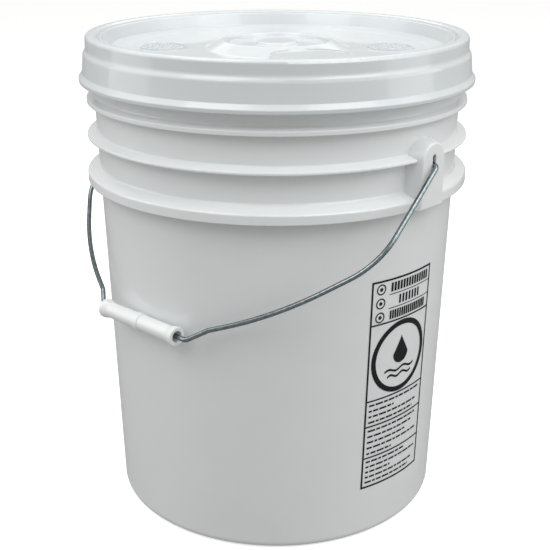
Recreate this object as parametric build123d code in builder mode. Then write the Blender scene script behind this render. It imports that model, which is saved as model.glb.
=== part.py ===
from build123d import *
import os
from math import cos, radians, sin, tan

# Plastic fermenting bucket with a lift-off lid, a sealing ring, a wire bail and a hand grip.
# Millimetres. The origin is the centre of the foot on the floor and +Z is up.
# The two bail ears lie on the X axis, and the bail hangs towards -Y.

# ---------------------------------------------------------------- pail
FOOT_HEIGHT = 7.0            # the base is raised this far inside the foot ring
FOOT_INNER_RADIUS = 121.5
FOOT_RADIUS = 133.7          # outside of the wall, carried down to the floor
SHOULDER_RADIUS = 141.5      # outside of the wall under the lowest ring
SHOULDER_Z = 275.6
NECK_LOW_Z = 282.9           # the same taper goes on up the neck from here
NECK_TOP_Z = 341.0           # where the neck steps out under the lid's skirt
MOUTH_Z = 347.0
MOUTH_RADIUS = 145.6         # outside of the mouth under the lid
RIM_Z = 377.5
RIM_RADIUS = 146.2
WALL = 2.3
FLOOR = 2.6

# The three stacking rings: outer radius, height of the lower edge and height of the edge face.
RING_LIP = 2.2
LOW_RING_RADIUS, LOW_RING_Z, LOW_RING_EDGE = 151.1, 270.7, 7.6
MIDDLE_RING_RADIUS, MIDDLE_RING_Z, MIDDLE_RING_EDGE = 149.9, 305.5, 2.0
TOP_RING_RADIUS, TOP_RING_Z, TOP_RING_EDGE = 149.1, 332.2, 3.4
RING_SLOPE = tan(radians(21))
GUSSETS = 24                 # stiffening ribs under the lowest ring
GUSSET_THICKNESS = 1.6

# ---------------------------------------------------------------- bail ears
EAR_FACE_X = 153.6
EAR_ROOT_X = 139.5           # inside the wall, so that the ear joins it all over
EAR_HALF_WIDTH = 13.0
EAR_TOP_Z = 318.4
EAR_LOW_Z = 270.2            # just below the lowest ring's edge
EAR_DRAFT = 0.30             # growth of the ear towards the wall, per mm of depth
EAR_SKIN = 2.6
EAR_POCKET_X = 151.2
SLOT_LIFT = 5.5              # play of the wire up the slot

# ---------------------------------------------------------------- bail
WIRE_DIAMETER = 3.6
WIRE_PLAY = 0.3
BAIL_AXIS_Z = 302.5
BAIL_REACH = 190.2           # ear axis to the straight seat of the grip
GRIP_OFFSET_Y = 146.0        # where the grip rests on the wall, from the pail's axis
BAIL_END_X = 147.0
BAIL_HEAD_DIAMETER = 6.4
BAIL_HEAD_LENGTH = 1.8

# ---------------------------------------------------------------- grip
GRIP_LENGTH = 82.6
GRIP_CENTRE_X = -3.4
GRIP_RADIUS = 6.2
GRIP_COLLAR_RADIUS = 6.9
GRIP_BELL_RADIUS = 7.4
GRIP_MOUTH_RADIUS = 4.2
GRIP_MOUTH_DEPTH = 7.0
GRIP_BORE_PLAY = 0.09

# ---------------------------------------------------------------- lid
LID_TOP_Z = 382.6
LID_LOW_Z = 347.7
LID_BEAD_RADIUS = 154.3
LID_PANEL_Z = 369.6
LID_SKIN = 2.2
CHANNEL_ROOF_Z = 380.2
CHANNEL_INNER_RADIUS = 142.3
CHANNEL_OUTER_RADIUS = 146.6
BOSS_CREST_Z = 376.0
PAD_RADIUS = 29.5
PAD_Z = 374.0
PAD_X, PAD_Y = 64.9, -33.7   # the round pad that runs into the boss's flank
EMBLEM_DISTANCE = 89.0
EMBLEM_ANGLE = 43.2
EMBLEM_RADIUS = 18.0
EMBLEM_DOTS = 12


# Turned shapes are drawn on the half-plane between +X and +Y, clear of the ears.
PROFILE = Plane(origin=(0, 0, 0), x_dir=(1, 1, 0), z_dir=(1, -1, 0))


def rounded_outline(corners):
    """Closed line through (radius, height, corner radius) points, in the sketch's plane."""
    points = [(radius, height) for radius, height, _ in corners]
    FilletPolyline(*points, radius=[corner[2] for corner in corners], close=True)


def wall_radius(z):
    """Outside radius of the tapered body wall at height z."""
    return FOOT_RADIUS + (SHOULDER_RADIUS - FOOT_RADIUS) * z / SHOULDER_Z


def small_ring(radius, low_z, edge):
    """Corners of a drafted ring that stands out of the neck, from its underside up."""
    under_z = low_z + edge + 0.4
    top_z = low_z + edge
    neck = wall_radius(top_z)
    return [
        (wall_radius(under_z), under_z, 0),
        (radius - RING_LIP, low_z, 0.4),
        (radius, low_z, 0.6),
        (radius, top_z, 0.8),
        (neck, top_z + (radius - neck) * RING_SLOPE, 1.4),
    ]


def arch_outline(half_width, top_z, low_z):
    """Closed round-topped line in the sketch's plane, standing on low_z."""
    spring_z = top_z - half_width
    Polyline((half_width, spring_z), (half_width, low_z), (-half_width, low_z),
             (-half_width, spring_z))
    ThreePointArc((-half_width, spring_z), (0, top_z), (half_width, spring_z))


def bail_plane():
    """Plane of the resting bail: local X runs along the ear axis, local Y towards the grip."""
    drop = (BAIL_REACH**2 - GRIP_OFFSET_Y**2) ** 0.5
    towards_grip = Vector(0, -GRIP_OFFSET_Y, -drop) / BAIL_REACH
    return Plane(origin=(0, 0, BAIL_AXIS_Z), x_dir=(1, 0, 0),
                 z_dir=Vector(1, 0, 0).cross(towards_grip))


# ---------------------------------------------------------------- pail
# The plain tapered wall without its rings, which bounds the pockets behind the ears.
with BuildPart() as wall_core:
    with BuildSketch(PROFILE):
        with BuildLine():
            Polyline((0, 0), (wall_radius(0), 0), (wall_radius(NECK_TOP_Z), NECK_TOP_Z),
                     (0, NECK_TOP_Z), close=True)
        make_face()
    revolve(axis=Axis.Z)

with BuildPart() as ear_body:
    ear_depth = EAR_FACE_X - EAR_ROOT_X
    with BuildSketch(Plane.YZ.offset(EAR_FACE_X)):
        with BuildLine():
            arch_outline(EAR_HALF_WIDTH, EAR_TOP_Z, EAR_LOW_Z)
        make_face()
    with BuildSketch(Plane.YZ.offset(EAR_ROOT_X)):
        with BuildLine():
            spread = EAR_DRAFT * ear_depth
            arch_outline(EAR_HALF_WIDTH + spread, EAR_TOP_Z + spread, EAR_LOW_Z)
        make_face()
    loft(ruled=True)
    face_edges = ear_body.faces().sort_by(Axis.X)[-1].edges()
    fillet(face_edges, radius=1.6)

with BuildPart() as ear_pocket:
    with BuildSketch(Plane.YZ.offset(EAR_ROOT_X)):
        with BuildLine():
            arch_outline(EAR_HALF_WIDTH - EAR_SKIN, EAR_TOP_Z - EAR_SKIN, EAR_LOW_Z - 1)
        make_face()
    extrude(amount=EAR_POCKET_X - EAR_ROOT_X)
    add(wall_core.part, mode=Mode.SUBTRACT)

with BuildPart() as pail:
    with BuildSketch(PROFILE):
        with BuildLine():
            rounded_outline([
                (0, FOOT_HEIGHT, 0),
                (FOOT_INNER_RADIUS - 2.5, FOOT_HEIGHT, 3.0),
                (FOOT_INNER_RADIUS, 0, 1.5),
                (FOOT_RADIUS, 0, 6.7),
                (SHOULDER_RADIUS, SHOULDER_Z, 1.0),
                (LOW_RING_RADIUS - RING_LIP - 0.1, SHOULDER_Z, 1.0),
                (LOW_RING_RADIUS - RING_LIP, LOW_RING_Z, 0.4),
                (LOW_RING_RADIUS, LOW_RING_Z, 0.7),
                (LOW_RING_RADIUS, LOW_RING_Z + LOW_RING_EDGE, 1.5),
                (wall_radius(NECK_LOW_Z), NECK_LOW_Z, 2.0),
                *small_ring(MIDDLE_RING_RADIUS, MIDDLE_RING_Z, MIDDLE_RING_EDGE),
                *small_ring(TOP_RING_RADIUS, TOP_RING_Z, TOP_RING_EDGE),
                (wall_radius(NECK_TOP_Z), NECK_TOP_Z, 2.0),
                (MOUTH_RADIUS, MOUTH_Z, 2.0),
                (MOUTH_RADIUS, RIM_Z - 11.5, 0),
                (RIM_RADIUS, RIM_Z - 9.5, 0.5),
                (RIM_RADIUS, RIM_Z, 1.2),
                (0, RIM_Z, 0),
            ])
        make_face()
    revolve(axis=Axis.Z)

    # Ribs that stiffen the hollow under the lowest ring.
    rib_low = LOW_RING_Z + 0.8
    rib_inner, rib_outer = wall_radius(rib_low) - 1.0, LOW_RING_RADIUS - 1.0
    with BuildSketch(Plane.XY.offset(rib_low)):
        with PolarLocations((rib_inner + rib_outer) / 2, GUSSETS, start_angle=180 / GUSSETS):
            Rectangle(rib_outer - rib_inner, GUSSET_THICKNESS)
    extrude(amount=SHOULDER_Z - rib_low + 0.5)

    add(ear_body.part)
    add(mirror(ear_body.part, about=Plane.YZ))

    # Inside of the pail, a steady wall thickness in from the outside.
    with BuildSketch(PROFILE):
        with BuildLine():
            floor_z = FOOT_HEIGHT + FLOOR
            rounded_outline([
                (0, floor_z, 0),
                (wall_radius(floor_z) - WALL, floor_z, 9.0),
                (wall_radius(NECK_TOP_Z) - WALL, NECK_TOP_Z, 2.0),
                (143.1, MOUTH_Z, 2.0),
                (143.2, RIM_Z - 0.9, 0.8),
                (144.0, RIM_Z, 0),
                (144.0, RIM_Z + 1, 0),
                (0, RIM_Z + 1, 0),
            ])
        make_face()
    revolve(axis=Axis.Z, mode=Mode.SUBTRACT)

    add(ear_pocket.part, mode=Mode.SUBTRACT)
    add(mirror(ear_pocket.part, about=Plane.YZ), mode=Mode.SUBTRACT)

    # Upright slots in the ears' faces, with the wire at their lower ends.
    slot_width = WIRE_DIAMETER + 2 * WIRE_PLAY
    with BuildSketch(Plane.YZ.offset(EAR_POCKET_X - 1)):
        with Locations((0, BAIL_AXIS_Z + SLOT_LIFT / 2)):
            SlotCenterToCenter(SLOT_LIFT, slot_width, rotation=90)
    slot = extrude(amount=EAR_FACE_X - EAR_POCKET_X + 2, mode=Mode.SUBTRACT)
    mirror(slot, about=Plane.YZ, mode=Mode.SUBTRACT)

    # Mould gate in the middle of the base.
    with BuildSketch(Plane.XY.offset(FOOT_HEIGHT)):
        Circle(9)
    extrude(amount=1.0, mode=Mode.SUBTRACT)
    with BuildSketch(Plane.XY.offset(FOOT_HEIGHT + 1)):
        Circle(1.8)
    extrude(amount=-1.6)

pail.part.label = "pail"

# ---------------------------------------------------------------- lid
with BuildPart() as lid:
    with BuildSketch(PROFILE):
        with BuildLine():
            rounded_outline([
                # Skirt, outside, from its lower bead up.
                (151.9, LID_LOW_Z, 0.4),
                (LID_BEAD_RADIUS - 0.3, LID_LOW_Z, 0.8),
                (LID_BEAD_RADIUS, 350.7, 1.4),
                (151.5, 354.3, 1.2),
                (150.2, 369.0, 5.0),
                (148.2, 371.8, 4.5),
                (148.0, LID_TOP_Z, 2.6),
                # Rim, groove and inner ridge.
                (141.8, LID_TOP_Z, 2.0),
                (139.4, LID_TOP_Z - 1.0, 0.6),
                (138.9, LID_TOP_Z - 2.9, 0.5),
                (137.6, LID_TOP_Z - 2.9, 0.5),
                (137.1, LID_TOP_Z - 1.6, 0.5),
                (135.4, LID_TOP_Z - 1.8, 0.9),
                # Inside of the plug, sloping band and panel.
                (132.0, LID_PANEL_Z + 1.4, 1.2),
                (117.0, LID_PANEL_Z, 1.5),
                # Central boss with its sunken ring and centre disc.
                (56.0, LID_PANEL_Z, 8.0),
                (43.4, BOSS_CREST_Z, 4.5),
                (39.8, BOSS_CREST_Z, 1.6),
                (38.5, BOSS_CREST_Z - 3.4, 1.4),
                (17.2, BOSS_CREST_Z - 3.4, 1.4),
                (15.4, BOSS_CREST_Z - 1.0, 1.8),
                (0, BOSS_CREST_Z - 1.0, 0),
                # Underside.
                (0, BOSS_CREST_Z - 3.4 - LID_SKIN, 0),
                (46.0, BOSS_CREST_Z - 3.4 - LID_SKIN, 1.5),
                (54.0, LID_PANEL_Z - LID_SKIN, 2.0),
                (117.0, LID_PANEL_Z - LID_SKIN, 1.5),
                (133.8, LID_PANEL_Z - 0.9, 1.6),
                (136.9, LID_TOP_Z - 5.3, 0.8),
                (139.6, LID_TOP_Z - 5.3, 0.8),
                (139.7, LID_PANEL_Z + 3.0, 0.6),
                (CHANNEL_INNER_RADIUS - 0.4, LID_PANEL_Z + 3.4, 1.0),
                (CHANNEL_INNER_RADIUS, CHANNEL_ROOF_Z, 0.3),
                (CHANNEL_OUTER_RADIUS, CHANNEL_ROOF_Z, 0.3),
                (CHANNEL_OUTER_RADIUS, 371.4, 1.0),
                (148.2, 368.4, 1.6),
                (149.5, 354.0, 1.6),
            ])
        make_face()
    revolve(axis=Axis.Z)

    # Round pad that runs into the boss's flank, hollow below, with a raised outline.
    with BuildSketch(Plane.XY.offset(LID_PANEL_Z - LID_SKIN + 0.4)):
        with Locations((PAD_X, PAD_Y)):
            Circle(PAD_RADIUS)
    extrude(amount=PAD_Z - LID_PANEL_Z + LID_SKIN - 0.4)
    with BuildSketch(Plane.XY.offset(PAD_Z)):
        with Locations((PAD_X, PAD_Y)):
            Circle(PAD_RADIUS)
            Circle(PAD_RADIUS - 1.6, mode=Mode.SUBTRACT)
    extrude(amount=0.7)
    with BuildSketch(Plane.XY.offset(LID_PANEL_Z - LID_SKIN - 1)):
        with Locations((PAD_X, PAD_Y)):
            Circle(PAD_RADIUS - LID_SKIN)
    extrude(amount=PAD_Z - LID_PANEL_Z + 1, mode=Mode.SUBTRACT)

    # Two plain mould marks: a ring, dots and a centre pip.
    for angle in (EMBLEM_ANGLE, EMBLEM_ANGLE + 180):
        centre = (EMBLEM_DISTANCE * cos(radians(angle)), EMBLEM_DISTANCE * sin(radians(angle)))
        with BuildSketch(Plane.XY.offset(LID_PANEL_Z - 0.4)):
            with Locations(centre):
                Circle(EMBLEM_RADIUS)
                Circle(EMBLEM_RADIUS - 1.4, mode=Mode.SUBTRACT)
                with PolarLocations(EMBLEM_RADIUS * 0.62, EMBLEM_DOTS):
                    Circle(1.5)
        extrude(amount=1.7)
        with BuildSketch(Plane.XY.offset(LID_PANEL_Z - 0.4)):
            with Locations(centre):
                Circle(3.2)
        extrude(amount=3.6, taper=12)

lid.part.label = "lid"

with BuildPart() as lid_gasket:
    with BuildSketch(PROFILE):
        with BuildLine():
            rounded_outline([
                (CHANNEL_INNER_RADIUS + 0.5, RIM_Z, 0.4),
                (CHANNEL_OUTER_RADIUS - 0.3, RIM_Z, 0.4),
                (CHANNEL_OUTER_RADIUS - 0.3, CHANNEL_ROOF_Z, 0.4),
                (CHANNEL_INNER_RADIUS + 0.5, CHANNEL_ROOF_Z, 0.4),
            ])
        make_face()
    revolve(axis=Axis.Z)

lid_gasket.part.label = "lid_gasket"

# ---------------------------------------------------------------- bail
# One half of the bent wire: corner and bend radius, from the ear to the seat of the grip.
half_bail = [
    (156.7, 0, 4.5),
    (159.8, 88.2, 60.0),
    (105.5, 150.4, 250.0),
    (60.4, 177.0, 10.0),
    (47.2, BAIL_REACH, 6.0),
]
left_half = [(-x, y, bend) for x, y, bend in half_bail]
bail_corners = left_half + half_bail[::-1]

with BuildPart() as bail_wire:
    with BuildLine(bail_plane()) as bail_path:
        FilletPolyline((-BAIL_END_X, 0), *[(x, y) for x, y, _ in bail_corners], (BAIL_END_X, 0),
                       radius=[corner[2] for corner in bail_corners])
    with BuildSketch(Plane.YZ.offset(-BAIL_END_X)):
        with Locations((0, BAIL_AXIS_Z)):
            Circle(WIRE_DIAMETER / 2)
    sweep(path=bail_path.wires()[0])

    # Upset heads that keep the ends behind the ears' faces.
    with BuildSketch(Plane.YZ.offset(BAIL_END_X)):
        with Locations((0, BAIL_AXIS_Z)):
            Circle(BAIL_HEAD_DIAMETER / 2)
    head = extrude(amount=BAIL_HEAD_LENGTH)
    mirror(head, about=Plane.YZ)

bail_wire.part.label = "bail_wire"

# ---------------------------------------------------------------- grip
grip_z = BAIL_AXIS_Z - (BAIL_REACH**2 - GRIP_OFFSET_Y**2) ** 0.5
half_length = GRIP_LENGTH / 2
bore_radius = WIRE_DIAMETER / 2 + GRIP_BORE_PLAY
half_grip = [
    (2.3, GRIP_COLLAR_RADIUS, 0.3),
    (2.5, GRIP_RADIUS, 0.2),
    (half_length - 8, GRIP_RADIUS, 8.0),
    (half_length - 2.6, GRIP_BELL_RADIUS, 0.8),
    (half_length, GRIP_BELL_RADIUS, 0.8),
    (half_length, GRIP_MOUTH_RADIUS, 0.6),
    (half_length - GRIP_MOUTH_DEPTH, GRIP_MOUTH_RADIUS - 0.5, 0.8),
    (half_length - GRIP_MOUTH_DEPTH, bore_radius, 0),
]
grip_corners = half_grip + [(-x, y, bend) for x, y, bend in half_grip[::-1]]

with BuildPart() as bail_grip:
    grip_plane = Plane(origin=(GRIP_CENTRE_X, -GRIP_OFFSET_Y, grip_z), x_dir=(1, 0, 0),
                       z_dir=(0, -1, 0))
    with BuildSketch(grip_plane):
        with BuildLine():
            rounded_outline(grip_corners)
        make_face()
    revolve(axis=Axis((GRIP_CENTRE_X, -GRIP_OFFSET_Y, grip_z), (1, 0, 0)))

bail_grip.part.label = "bail_grip"

# ---------------------------------------------------------------- files
os.makedirs("parts", exist_ok=True)
export_step(pail.part, "parts/pail.step")
export_step(lid.part, "parts/lid.step")
export_step(lid_gasket.part, "parts/lid_gasket.step")
export_step(bail_wire.part, "parts/bail_wire.step")
export_step(bail_grip.part, "parts/bail_grip.step")
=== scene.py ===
import math

import bmesh
import bpy
from mathutils import Matrix, Vector


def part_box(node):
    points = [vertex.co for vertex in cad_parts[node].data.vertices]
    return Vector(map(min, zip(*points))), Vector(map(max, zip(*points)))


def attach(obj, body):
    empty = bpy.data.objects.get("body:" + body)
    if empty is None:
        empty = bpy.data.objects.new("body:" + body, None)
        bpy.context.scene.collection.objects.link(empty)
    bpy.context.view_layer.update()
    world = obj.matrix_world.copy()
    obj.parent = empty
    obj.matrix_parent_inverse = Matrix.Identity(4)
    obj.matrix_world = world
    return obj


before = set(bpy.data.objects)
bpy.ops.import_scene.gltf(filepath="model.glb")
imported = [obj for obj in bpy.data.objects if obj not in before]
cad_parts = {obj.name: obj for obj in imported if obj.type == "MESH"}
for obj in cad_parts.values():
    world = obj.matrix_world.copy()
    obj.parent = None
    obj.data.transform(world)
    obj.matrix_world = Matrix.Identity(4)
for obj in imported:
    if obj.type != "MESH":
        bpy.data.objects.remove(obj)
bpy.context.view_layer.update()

# ------------------------------------------------------------------ measures, in metres
FLOOR_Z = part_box("pail")[0].z        # the floor lies under the pail's foot

# The pail's wall under its lowest ring, as the CAD part draws it: a straight taper.
WALL_FOOT_RADIUS, WALL_SHOULDER_RADIUS, WALL_SHOULDER_Z = 0.1337, 0.1415, 0.2756

# The printed panel lies on the wall under the ear at +X.  Places on it are (across, up):
# across runs along the wall to the right of its middle, and up is height above the floor.
PRINT_ANGLE = math.radians(-3.4)
PRINT_HALF = 0.0333
PRINT_TOP, PRINT_LOW = 0.2185, 0.0440
PRINT_LIFT, PRINT_SKIN = 0.00002, 0.00010
HEAD_LINE, SIGN_LINE, TEXT_LINE, LAST_LINE = 0.1835, 0.1205, 0.0985, 0.0710
FRAME_WIDTH, RULE_WIDTH = 0.0015, 0.0012
THIN_RULE_LEFT, THIN_RULE_WIDTH = -0.0165, 0.0006
TARGET_PLACE, TARGET_RADIUS, TARGET_WIDTH = -0.0245, 0.0043, 0.0010
TARGET_CORE_RADIUS, TARGET_CORE_WIDTH = 0.0015, 0.0013
HATCH_HALF_HEIGHT = 0.0035
# The three hatched bars of the head: left end, right end, stroke and gap.
HATCHES = (
    (-0.015, 0.030, 0.0021, 0.0011),
    (-0.006, 0.021, 0.0019, 0.0017),
    (-0.015, 0.029, 0.0017, 0.0008),
)
SIGN_RADIUS, SIGN_WIDTH = 0.0300, 0.0042
DROP_RADIUS, DROP_HEIGHT, DROP_FOOT = 0.0082, 0.0230, -0.0060
# The two waves under the drop: place below the sign's middle and half length.
WAVES = ((-0.0105, 0.0165), (-0.0155, 0.0135))
WAVE_SWING, WAVE_WIDTH = 0.0012, 0.0018
DASH_WIDTH, DASH_SHORTEST, DASH_STEP, DASH_GAP = 0.0015, 0.0028, 0.0011, 0.0012
# How far the rows of dashes stop short of the right, one after another.
RAGGED_ENDS = (0.004, 0.036, 0.007, 0.012, 0.020)
CELL_LEFT_MARGIN, CELL_TOP_MARGIN, CELL_LOW_MARGIN = 0.0022, 0.0014, 0.0012
INK_STEP = 0.003                     # longest stretch of ink that is left flat on the round wall

# The camera, at the photograph's viewing angle.  Azimuth is counted from -Y towards +X.
CAMERA_AZIMUTH = math.radians(43.2)
CAMERA_DISTANCE = 0.8429
CAMERA_HEIGHT = 0.4906
CAMERA_PITCH = math.radians(20.236)
CAMERA_YAW = math.radians(0.092)
CAMERA_ROLL = math.radians(0.082)
CAMERA_LENS = 69.68
SENSOR_WIDTH = 36.0

# Lights: name, degrees round from the camera, distance, height, height aimed at,
# width, length and watts.
LIGHTS = (
    ("left_box", -90, 1.50, 0.75, 0.20, 1.0, 1.5, 5.3),
    ("right_box", 78, 1.50, 0.75, 0.20, 1.0, 1.5, 6.5),
    ("left_key", -42, 1.15, 1.50, 0.20, 0.9, 0.9, 6.5),
    ("right_key", 48, 1.15, 1.50, 0.20, 0.9, 0.9, 7.0),
    ("left_top", -100, 0.65, 1.90, 0.20, 0.7, 0.7, 4.5),
    ("right_top", 95, 0.65, 1.90, 0.20, 0.7, 0.7, 3.0),
    ("back_box", 180, 1.80, 1.50, 0.38, 1.6, 0.7, 3.0),
)

# The room's light runs from its low strength to its high one between these heights of view.
ROOM_LOW, ROOM_HIGH = -0.25, 0.45
ROOM_LOW_STRENGTH, ROOM_HIGH_STRENGTH = 0.38, 0.60
ROOM_WHITE = (1.0, 0.995, 0.98, 1)
FLOOR_SIZE = 12.0
FLOOR_WHITE = (0.93, 0.93, 0.93, 1)
FLOOR_GLOW = 0.42


# ------------------------------------------------------------------ node helpers
def new_material(name):
    """An empty node material and its node tree."""
    material = bpy.data.materials.new(name)
    material.use_nodes = True
    tree = material.node_tree
    tree.nodes.clear()
    return material, tree


def node(tree, kind, **values):
    """One node; a value goes to the property or the input of that name."""
    made = tree.nodes.new(kind)
    for key, value in values.items():
        name = key.replace("_", " ")
        if hasattr(made, key):
            setattr(made, key, value)
        else:
            made.inputs[name].default_value = value
    return made


def ramp(tree, source, stops):
    """A colour ramp over a 0 to 1 value; stops are (place, colour)."""
    made = tree.nodes.new("ShaderNodeValToRGB")
    while len(made.color_ramp.elements) < len(stops):
        made.color_ramp.elements.new(0.5)
    for element, (place, colour) in zip(made.color_ramp.elements, stops):
        element.position = place
        element.color = (*colour, 1)
    tree.links.new(source, made.inputs["Fac"])
    return made.outputs["Color"]


def plastic(name, base, shade, roughness, coat):
    """Moulded polyethylene: faint cloudy colour, moulding flow marks and a fine satin skin."""
    material, tree = new_material(name)
    link = tree.links.new
    shader = tree.nodes.new("ShaderNodeBsdfPrincipled")
    shader.inputs["IOR"].default_value = 1.52
    shader.inputs["Subsurface Weight"].default_value = 0.25
    shader.inputs["Subsurface Radius"].default_value = (0.010, 0.010, 0.010)
    shader.inputs["Subsurface Scale"].default_value = 0.4
    shader.inputs["Coat Weight"].default_value = coat
    shader.inputs["Coat Roughness"].default_value = 0.07
    out = tree.nodes.new("ShaderNodeOutputMaterial")
    link(shader.outputs["BSDF"], out.inputs["Surface"])
    place = tree.nodes.new("ShaderNodeTexCoord").outputs["Object"]

    cloud = node(tree, "ShaderNodeTexNoise", Scale=9.0, Detail=3.0, Roughness=0.55)
    link(place, cloud.inputs["Vector"])
    link(ramp(tree, cloud.outputs["Fac"], [(0.35, shade), (0.65, base)]), shader.inputs["Base Color"])

    smear = node(tree, "ShaderNodeMapping")
    smear.inputs["Scale"].default_value = (60, 60, 9)
    link(place, smear.inputs["Vector"])
    flow = node(tree, "ShaderNodeTexNoise", Scale=1.0, Detail=4.0, Roughness=0.6)
    link(smear.outputs["Vector"], flow.inputs["Vector"])
    gloss = node(tree, "ShaderNodeMapRange")
    gloss.inputs["From Min"].default_value = 0.3
    gloss.inputs["From Max"].default_value = 0.7
    gloss.inputs["To Min"].default_value = roughness - 0.05
    gloss.inputs["To Max"].default_value = roughness + 0.07
    link(flow.outputs["Fac"], gloss.inputs["Value"])
    link(gloss.outputs["Result"], shader.inputs["Roughness"])

    grain = node(tree, "ShaderNodeTexNoise", Scale=900.0, Detail=2.0, Roughness=0.5)
    link(place, grain.inputs["Vector"])
    fine = node(tree, "ShaderNodeBump", Strength=0.05, Distance=0.0002)
    link(grain.outputs["Fac"], fine.inputs["Height"])
    waves = node(tree, "ShaderNodeBump", Strength=0.12, Distance=0.0012)
    link(flow.outputs["Fac"], waves.inputs["Height"])
    link(fine.outputs["Normal"], waves.inputs["Normal"])
    sag = node(tree, "ShaderNodeTexNoise", Scale=16.0, Detail=1.0, Roughness=0.4)
    link(place, sag.inputs["Vector"])
    warp = node(tree, "ShaderNodeBump", Strength=0.35, Distance=0.004)
    link(sag.outputs["Fac"], warp.inputs["Height"])
    link(waves.outputs["Normal"], warp.inputs["Normal"])
    link(warp.outputs["Normal"], shader.inputs["Normal"])
    return material


def galvanised_wire():
    """Galvanised steel: cool grey zinc bloom, in spots, with an uneven gloss."""
    material, tree = new_material("galvanised_wire")
    link = tree.links.new
    shader = tree.nodes.new("ShaderNodeBsdfPrincipled")
    shader.inputs["Metallic"].default_value = 1.0
    shader.inputs["Specular Tint"].default_value = (0.10, 0.13, 0.14, 1)
    out = tree.nodes.new("ShaderNodeOutputMaterial")
    link(shader.outputs["BSDF"], out.inputs["Surface"])
    place = tree.nodes.new("ShaderNodeTexCoord").outputs["Object"]
    bloom = node(tree, "ShaderNodeTexNoise", Scale=420.0, Detail=4.0, Roughness=0.5)
    link(place, bloom.inputs["Vector"])
    colours = [(0.3, (0.17, 0.21, 0.22)), (0.7, (0.31, 0.35, 0.36))]
    link(ramp(tree, bloom.outputs["Fac"], colours), shader.inputs["Base Color"])
    gloss = node(tree, "ShaderNodeMapRange")
    gloss.inputs["To Min"].default_value = 0.06
    gloss.inputs["To Max"].default_value = 0.13
    link(bloom.outputs["Fac"], gloss.inputs["Value"])
    link(gloss.outputs["Result"], shader.inputs["Roughness"])
    bump = node(tree, "ShaderNodeBump", Strength=0.06, Distance=0.0001)
    link(bloom.outputs["Fac"], bump.inputs["Height"])
    link(bump.outputs["Normal"], shader.inputs["Normal"])
    return material


def sealing_rubber():
    """Soft pale rubber with a matt, slightly dusty skin."""
    material, tree = new_material("sealing_rubber")
    link = tree.links.new
    shader = tree.nodes.new("ShaderNodeBsdfPrincipled")
    out = tree.nodes.new("ShaderNodeOutputMaterial")
    link(shader.outputs["BSDF"], out.inputs["Surface"])
    place = tree.nodes.new("ShaderNodeTexCoord").outputs["Object"]
    dust = node(tree, "ShaderNodeTexNoise", Scale=140.0, Detail=6.0, Roughness=0.6)
    link(place, dust.inputs["Vector"])
    colours = [(0.3, (0.50, 0.50, 0.47)), (0.7, (0.62, 0.62, 0.59))]
    link(ramp(tree, dust.outputs["Fac"], colours), shader.inputs["Base Color"])
    shader.inputs["Roughness"].default_value = 0.7
    bump = node(tree, "ShaderNodeBump", Strength=0.2, Distance=0.0003)
    link(dust.outputs["Fac"], bump.inputs["Height"])
    link(bump.outputs["Normal"], shader.inputs["Normal"])
    return material


def paint(node_name, material):
    """Gives a CAD node its finished material."""
    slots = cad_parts[node_name].data.materials
    slots.clear()
    slots.append(material)


paint("pail", plastic("pail_plastic", (0.80, 0.82, 0.825), (0.77, 0.795, 0.80), 0.37, 0.6))
paint("lid", plastic("lid_plastic", (0.68, 0.715, 0.73), (0.64, 0.68, 0.70), 0.35, 0.7))
paint("bail_grip", plastic("grip_plastic", (0.84, 0.855, 0.86), (0.81, 0.83, 0.835), 0.34, 0.8))
paint("bail_wire", galvanised_wire())
paint("lid_gasket", sealing_rubber())


# ------------------------------------------------------------------ printed panel
def on_wall(across, up, lift):
    """The point of the wall's surface at a place on the print, lifted off it."""
    radius = WALL_FOOT_RADIUS + (WALL_SHOULDER_RADIUS - WALL_FOOT_RADIUS) * up / WALL_SHOULDER_Z
    angle = PRINT_ANGLE + across / radius
    return Vector(((radius + lift) * math.cos(angle), (radius + lift) * math.sin(angle), up))


def ink_patch(shape, rows, closed=False):
    """A thin slab of ink over a grid of (across, up) places; closed joins the last row to the first."""
    skin = PRINT_LIFT + PRINT_SKIN
    back = [[shape.verts.new(on_wall(*place, PRINT_LIFT)) for place in row] for row in rows]
    front = [[shape.verts.new(on_wall(*place, skin)) for place in row] for row in rows]
    pairs = list(zip(range(len(rows) - 1), range(1, len(rows))))
    if closed:
        pairs.append((len(rows) - 1, 0))
    last = len(rows[0]) - 1
    for low, high in pairs:
        for i in range(last):
            shape.faces.new((front[low][i], front[low][i + 1], front[high][i + 1], front[high][i]))
            shape.faces.new((back[low][i], back[high][i], back[high][i + 1], back[low][i + 1]))
        shape.faces.new((back[low][0], front[low][0], front[high][0], back[high][0]))
        shape.faces.new((back[low][last], back[high][last], front[high][last], front[low][last]))
    if not closed:
        for i in range(last):
            shape.faces.new((back[0][i], back[0][i + 1], front[0][i + 1], front[0][i]))
            shape.faces.new((back[-1][i], front[-1][i], front[-1][i + 1], back[-1][i + 1]))


def ink_bar(shape, left, right, low, high):
    """An upright rectangle of ink."""
    steps = max(1, math.ceil((right - left) / INK_STEP))
    places = [left + (right - left) * i / steps for i in range(steps + 1)]
    ink_patch(shape, [[(across, up) for across in places] for up in (low, high)])


def ink_rule(shape, left, right, up, width):
    """A level line of ink, its middle at one height."""
    ink_bar(shape, left, right, up - width / 2, up + width / 2)


def ink_ring(shape, across, up, radius, width, steps):
    """A plain ring of ink round a place."""
    rows = []
    for i in range(steps):
        turn = 2 * math.pi * i / steps
        rows.append([(across + reach * math.cos(turn), up + reach * math.sin(turn))
                     for reach in (radius - width, radius)])
    ink_patch(shape, rows, closed=True)


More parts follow.
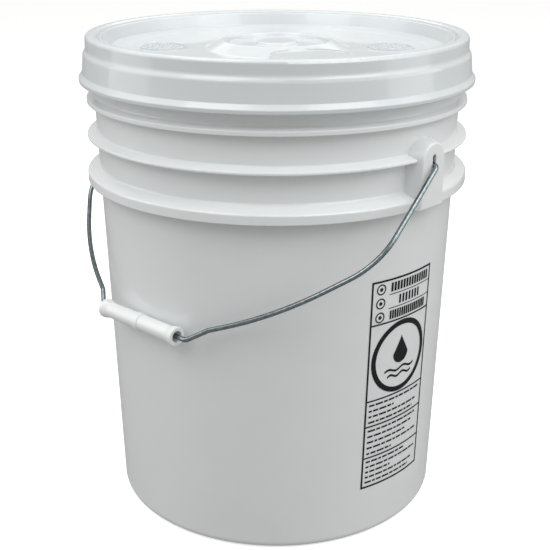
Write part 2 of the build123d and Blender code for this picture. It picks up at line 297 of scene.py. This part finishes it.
def ink_drop(shape, across, low, radius, height):
    """A filled drop standing on a height: a round foot drawn up to a point."""
    rows = []
    steps = 24
    for i in range(steps + 1):
        part = i / steps
        up = low + height * part
        climb = min(height * part, 2 * radius)
        if climb < radius:
            half = math.sqrt(max(radius ** 2 - (radius - climb) ** 2, 0))
        else:
            left = (height - height * part) / (height - radius)
            half = radius * left ** 1.25 * (1 + 0.25 * (1 - left))
        half = max(half, 0.0002)
        rows.append([(across - half, up), (across, up), (across + half, up)])
    ink_patch(shape, rows)


def ink_wave(shape, across, up, half_length, swing, width):
    """A wavy line of ink, two swells long."""
    steps = 28
    low_row, high_row = [], []
    for i in range(steps + 1):
        place = across - half_length + 2 * half_length * i / steps
        middle = up + swing * math.sin(4 * math.pi * i / steps)
        low_row.append((place, middle - width / 2))
        high_row.append((place, middle + width / 2))
    ink_patch(shape, [low_row, high_row])


def ink_dashes(shape, left, right, top, low, lines, start):
    """Rows of short dashes, ragged at the right, where small print would be."""
    pitch = (top - low) / lines
    count = start
    for line in range(lines):
        up = top - pitch * (line + 0.5)
        end = right - RAGGED_ENDS[(line + 2 * start) % len(RAGGED_ENDS)]
        place = left
        while place < end:
            count += 1
            length = DASH_SHORTEST + DASH_STEP * ((count * 7) % 5)
            ink_rule(shape, place, min(place + length, end), up, DASH_WIDTH)
            place += length + DASH_GAP


def ink_hatch(shape, left, right, low, high, stroke, gap):
    """A row of upright strokes that fills a bar."""
    place = left
    while place + stroke <= right:
        ink_bar(shape, place, place + stroke, low, high)
        place += stroke + gap


def printing_ink():
    """Black screen ink: slightly uneven cover and a soft sheen."""
    material, tree = new_material("printing_ink")
    link = tree.links.new
    shader = tree.nodes.new("ShaderNodeBsdfPrincipled")
    out = tree.nodes.new("ShaderNodeOutputMaterial")
    link(shader.outputs["BSDF"], out.inputs["Surface"])
    place = tree.nodes.new("ShaderNodeTexCoord").outputs["Object"]
    cover = node(tree, "ShaderNodeTexNoise", Scale=500.0, Detail=4.0, Roughness=0.6)
    link(place, cover.inputs["Vector"])
    colours = [(0.35, (0.006, 0.007, 0.008)), (0.7, (0.018, 0.02, 0.022))]
    link(ramp(tree, cover.outputs["Fac"], colours), shader.inputs["Base Color"])
    shader.inputs["Roughness"].default_value = 0.6
    shader.inputs["Specular IOR Level"].default_value = 0.15
    bump = node(tree, "ShaderNodeBump", Strength=0.1, Distance=0.0001)
    link(cover.outputs["Fac"], bump.inputs["Height"])
    link(bump.outputs["Normal"], shader.inputs["Normal"])
    return material


def print_frame(shape):
    """The panel's outline and the rules that divide it."""
    left, right = -PRINT_HALF, PRINT_HALF
    top, low = PRINT_TOP - FRAME_WIDTH, PRINT_LOW + FRAME_WIDTH
    ink_bar(shape, left, left + FRAME_WIDTH, low, top)
    ink_bar(shape, right - FRAME_WIDTH, right, low, top)
    ink_bar(shape, left, right, top, PRINT_TOP)
    ink_bar(shape, left, right, PRINT_LOW, low)
    for up in (HEAD_LINE, SIGN_LINE, TEXT_LINE, LAST_LINE):
        ink_rule(shape, left + FRAME_WIDTH, right - FRAME_WIDTH, up, RULE_WIDTH)


def print_head(shape):
    """Three rows, each a small target beside a hatched bar."""
    top = PRINT_TOP - FRAME_WIDTH
    row = (top - HEAD_LINE) / len(HATCHES)
    for i, (start, end, stroke, gap) in enumerate(HATCHES):
        up = top - row * (i + 0.5)
        if i < len(HATCHES) - 1:
            ink_rule(shape, THIN_RULE_LEFT, PRINT_HALF - FRAME_WIDTH, up - row / 2, THIN_RULE_WIDTH)
        ink_ring(shape, TARGET_PLACE, up, TARGET_RADIUS, TARGET_WIDTH, 32)
        ink_ring(shape, TARGET_PLACE, up, TARGET_CORE_RADIUS, TARGET_CORE_WIDTH, 16)
        ink_hatch(shape, start, end, up - HATCH_HALF_HEIGHT, up + HATCH_HALF_HEIGHT, stroke, gap)


def print_sign(shape):
    """A drop over two waves in a ring."""
    middle = (HEAD_LINE + SIGN_LINE) / 2
    ink_ring(shape, 0, middle, SIGN_RADIUS, SIGN_WIDTH, 96)
    ink_drop(shape, 0, middle + DROP_FOOT, DROP_RADIUS, DROP_HEIGHT)
    for below, half_length in WAVES:
        ink_wave(shape, 0, middle + below, half_length, WAVE_SWING, WAVE_WIDTH)


def print_cells(shape):
    """Three cells of dashes under the sign: top, bottom and number of rows."""
    bottom = PRINT_LOW + FRAME_WIDTH
    cells = ((SIGN_LINE, TEXT_LINE, 4), (TEXT_LINE, LAST_LINE, 5), (LAST_LINE, bottom, 5))
    left, right = -PRINT_HALF + FRAME_WIDTH + CELL_LEFT_MARGIN, PRINT_HALF - FRAME_WIDTH
    for start, (top, low, lines) in enumerate(cells):
        ink_dashes(shape, left, right, top - CELL_TOP_MARGIN, low + CELL_LOW_MARGIN, lines, start)


def make_print():
    """The printed panel, as one object on the pail."""
    shape = bmesh.new()
    print_frame(shape)
    print_head(shape)
    print_sign(shape)
    print_cells(shape)
    mesh = bpy.data.meshes.new("printed_panel")
    shape.to_mesh(mesh)
    shape.free()
    panel = bpy.data.objects.new("printed_panel", mesh)
    bpy.context.scene.collection.objects.link(panel)
    mesh.materials.append(printing_ink())
    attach(panel, "pail")


make_print()


# ------------------------------------------------------------------ stage
def make_floor():
    """A plain white floor that neither lights the object nor shows in its gloss."""
    mesh = bpy.data.meshes.new("floor")
    shape = bmesh.new()
    bmesh.ops.create_grid(shape, x_segments=2, y_segments=2, size=FLOOR_SIZE)
    shape.to_mesh(mesh)
    shape.free()
    floor = bpy.data.objects.new("floor", mesh)
    bpy.context.scene.collection.objects.link(floor)
    floor.location.z = FLOOR_Z
    floor.visible_diffuse = False
    floor.visible_glossy = False
    material, tree = new_material("floor_white")
    shader = tree.nodes.new("ShaderNodeBsdfPrincipled")
    shader.inputs["Base Color"].default_value = FLOOR_WHITE
    shader.inputs["Roughness"].default_value = 0.9
    shader.inputs["Specular IOR Level"].default_value = 0.2
    shader.inputs["Emission Color"].default_value = (1, 1, 1, 1)
    shader.inputs["Emission Strength"].default_value = FLOOR_GLOW
    out = tree.nodes.new("ShaderNodeOutputMaterial")
    tree.links.new(shader.outputs["BSDF"], out.inputs["Surface"])
    mesh.materials.append(material)


def area_light(name, place, target, width, height, power):
    """A soft rectangular light aimed at a point."""
    data = bpy.data.lights.new(name, "AREA")
    data.shape = "RECTANGLE"
    data.size = width
    data.size_y = height
    data.energy = power
    light = bpy.data.objects.new(name, data)
    bpy.context.scene.collection.objects.link(light)
    light.location = place
    aim = Vector(target) - Vector(place)
    light.rotation_euler = aim.to_track_quat("-Z", "Y").to_euler()


def seen_from(degrees_round, distance, height):
    """A point round the object: at 0 it is on the camera's side, and at 90 on the camera's right."""
    azimuth = CAMERA_AZIMUTH + math.radians(degrees_round)
    return Vector((distance * math.sin(azimuth), -distance * math.cos(azimuth), height))


def make_camera():
    """The scene's camera, at the photograph's viewing angle."""
    data = bpy.data.cameras.new("camera")
    data.lens = CAMERA_LENS
    data.sensor_width = SENSOR_WIDTH
    camera = bpy.data.objects.new("camera", data)
    bpy.context.scene.collection.objects.link(camera)
    camera.location = seen_from(0, CAMERA_DISTANCE, CAMERA_HEIGHT)
    turn = Matrix.Rotation(CAMERA_AZIMUTH + CAMERA_YAW, 3, "Z")
    tilt = Matrix.Rotation(math.pi / 2 - CAMERA_PITCH, 3, "X")
    roll = Matrix.Rotation(CAMERA_ROLL, 3, "Z")
    camera.rotation_euler = (turn @ tilt @ roll).to_euler()
    bpy.context.scene.camera = camera


def make_lights():
    """Softboxes at both sides, keys in front, lights overhead, and one box behind."""
    for name, degrees_round, distance, height, aim_height, width, length, power in LIGHTS:
        place = seen_from(degrees_round, distance, height)
        area_light(name, place, (0, 0, aim_height), width, length, power)


def make_room():
    """The room round the object: plain white to the eye, with a softer light low down."""
    world = bpy.data.worlds.new("world")
    world.use_nodes = True
    tree = world.node_tree
    place = tree.nodes.new("ShaderNodeTexCoord").outputs["Generated"]
    split = tree.nodes.new("ShaderNodeSeparateXYZ")
    tree.links.new(place, split.inputs["Vector"])
    level = tree.nodes.new("ShaderNodeMapRange")
    level.inputs["From Min"].default_value = ROOM_LOW
    level.inputs["From Max"].default_value = ROOM_HIGH
    level.inputs["To Min"].default_value = ROOM_LOW_STRENGTH
    level.inputs["To Max"].default_value = ROOM_HIGH_STRENGTH
    tree.links.new(split.outputs["Z"], level.inputs["Value"])
    # Camera rays see plain white, and all others the gradient, which lights the object.
    white = tree.nodes.new("ShaderNodeMix")
    white.inputs["B"].default_value = 1.0
    tree.links.new(tree.nodes.new("ShaderNodeLightPath").outputs["Is Camera Ray"], white.inputs["Factor"])
    tree.links.new(level.outputs["Result"], white.inputs["A"])
    tree.links.new(white.outputs["Result"], tree.nodes["Background"].inputs["Strength"])
    tree.nodes["Background"].inputs["Color"].default_value = ROOM_WHITE
    bpy.context.scene.world = world


bpy.context.scene.view_settings.view_transform = "Standard"
make_camera()
make_floor()
make_lights()
make_room()
